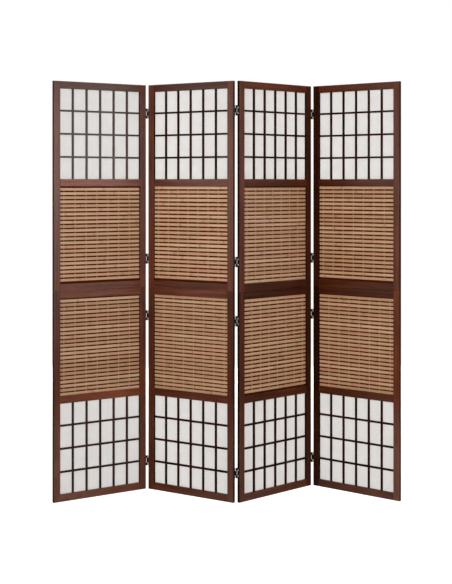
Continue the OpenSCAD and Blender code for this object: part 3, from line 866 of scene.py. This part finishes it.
def sheets(n, half, finishes):
    """The paper of one field and the cloth behind one blind."""
    left, right = stile_w, stile_w + opening_w
    low = field_z[half]
    paper = sheet_mesh((left - paper_tuck, low - paper_tuck),
                       (right + paper_tuck, low + field_h + paper_tuck), paper_y, paper_t,
                       paper_cells, paper_slack(low))
    paper.materials.append(finishes["paper", n])
    made = piece("panel_%d_%s_paper" % (n, half), stand_up(paper, n), n, "shoji_paper",
                 "panel_%d_shoji_sheets" % n)
    low = blind_z[half]
    cloth = sheet_mesh((left - backing_tuck, low - backing_tuck),
                       (right + backing_tuck, low + blind_h + backing_tuck), backing_y, backing_t,
                       cloth_cells, cloth_slack(low, n * cloth_next_phase + cloth_first_phase))
    cloth.materials.append(finishes["cloth", n])
    made = piece("panel_%d_%s_cloth" % (n, half), stand_up(cloth, n), n, "dark_cloth",
                 "panel_%d_blind_backing" % n)


# Finishes for the frame's own solids

def dress(name, material):
    mesh = frame["nodes"][name].data
    mesh.materials.clear()
    mesh.materials.append(material)


def dress_frame():
    dowels, black, bright = dowel_wood(), black_steel(), bright_steel()
    for n in PANELS:
        for half in HALVES:
            for part, kind in (("stiles", "stile"), ("rails", "rail"), ("lattice", "bar")):
                dress("panel_%d_%s_%s" % (n, half, part), stained_wood(n, half, kind))
        dress("panel_%d_joining_dowels" % n, dowels)
        dress("panel_%d_hinge_screws" % n, bright)
    for pair in ("12", "23", "34"):
        for part in ("left_leaves", "right_leaves", "links"):
            dress("hinges_%s_%s" % (pair, part), black)
        dress("hinges_%s_pins" % pair, bright)


# Studio

def place_camera():
    data = bpy.data.cameras.new("camera")
    data.lens = lens
    data.shift_y = (horizon_row - image_height / 2) / image_height
    data.clip_end = 100
    camera = bpy.data.objects.new("camera", data)
    camera.location = camera_place
    camera.rotation_euler = (math.radians(90), 0, 0)
    bpy.context.scene.collection.objects.link(camera)
    bpy.context.scene.camera = camera


def seen_directly(tree):
    """1 for rays that show the surroundings: straight, mirrored or through glass."""
    path = node(tree, "ShaderNodeLightPath").outputs
    either = calc(tree, "MAXIMUM", path["Is Camera Ray"], path["Is Glossy Ray"])
    return calc(tree, "MAXIMUM", either, path["Is Transmission Ray"])


ROOM_LIGHT = (1.0, 0.995, 0.985)
ROOM_LEVEL = 0.12
FLOOR_COLOUR = (0.55, 0.545, 0.54)
FLOOR_SHADE = (0.50, 0.50, 0.50)
FLOOR_GLOW = 0.96
floor_reach = 60


def light_room():
    """A white room to look at, which lights the screen softly from all round."""
    world = bpy.data.worlds.new("room")
    bpy.context.scene.world = world
    world.use_nodes = True
    tree = world.node_tree
    tree.nodes.clear()
    lit = node(tree, "ShaderNodeBackground", {0: (*ROOM_LIGHT, 1), 1: ROOM_LEVEL}).outputs[0]
    seen = node(tree, "ShaderNodeBackground", {0: (1, 1, 1, 1), 1: 1.0}).outputs[0]
    mixed = node(tree, "ShaderNodeMixShader", {0: seen_directly(tree), 1: lit, 2: seen}).outputs[0]
    node(tree, "ShaderNodeOutputWorld", {"Surface": mixed})


def lay_floor():
    """A pale floor that is seen white, with the screen's soft shadow on it."""
    material = bpy.data.materials.new("floor")
    material.use_nodes = True
    tree = material.node_tree
    tree.nodes.clear()
    plain = node(tree, "ShaderNodeBsdfDiffuse", {0: (*FLOOR_COLOUR, 1)}).outputs[0]
    shade = node(tree, "ShaderNodeBsdfDiffuse", {0: (*FLOOR_SHADE, 1)}).outputs[0]
    light = node(tree, "ShaderNodeEmission", {0: (1, 1, 1, 1), 1: FLOOR_GLOW}).outputs[0]
    both = node(tree, "ShaderNodeAddShader", {0: shade, 1: light}).outputs[0]
    mixed = node(tree, "ShaderNodeMixShader", {0: seen_directly(tree), 1: plain, 2: both})
    node(tree, "ShaderNodeOutputMaterial", {"Surface": mixed.outputs[0]})
    mesh = bpy.data.meshes.new("floor")
    r = floor_reach
    mesh.from_pydata([(-r, -r, 0), (r, -r, 0), (r, r, 0), (-r, r, 0)], [], [(0, 1, 2, 3)])
    mesh.materials.append(material)
    floor = bpy.data.objects.new("floor", mesh)
    bpy.context.scene.collection.objects.link(floor)


def soft_light(name, place, aim, size, watts, sheen_only=False):
    """A rectangular lamp. One for sheen only is a bright card that shows in the varnish."""
    data = bpy.data.lights.new(name, "AREA")
    data.shape = "RECTANGLE"
    data.size, data.size_y = size
    data.energy = watts
    light = bpy.data.objects.new(name, data)
    light.location = place
    light.rotation_euler = (Vector(aim) - Vector(place)).to_track_quat("-Z", "Y").to_euler()
    light.visible_diffuse = not sheen_only
    bpy.context.scene.collection.objects.link(light)


def make_studio():
    scene = bpy.context.scene
    scene.view_settings.view_transform = "Standard"
    place_camera()
    light_room()
    lay_floor()
    soft_light("front", (-0.2, -5.7, 2.1), (0, 0, 0.9), (3.4, 2.4), 290)
    soft_light("behind", (0.0, 3.6, 1.5), (0, 0, 0.8), (4.0, 2.4), 140)
    soft_light("above", (0.0, 0.8, 3.9), (0, 0.6, 0), (3.4, 1.2), 90, sheen_only=True)
    soft_light("right_card", (2.3, -1.45, 1.50), (-0.54, 0, 1.4), (1.5, 0.9), 180, sheen_only=True)
    soft_light("left_card", (-2.5, -1.2, 1.50), (0.0, 0, 1.4), (1.5, 0.9), 85, sheen_only=True)


make_studio()
dress_frame()
finishes = {}
for n in PANELS:
    finishes["paper", n] = shoji_paper(n)
    finishes["cloth", n] = dark_cloth(n)
    finishes["bamboo", n] = bamboo(n)
    finishes["thread", n] = thread_finish(n)
trees = {"slats": slat_tree(), "threads": thread_tree()}
for n in PANELS:
    for half in HALVES:
        sheets(n, half, finishes)
        blind(n, half, trees, finishes)
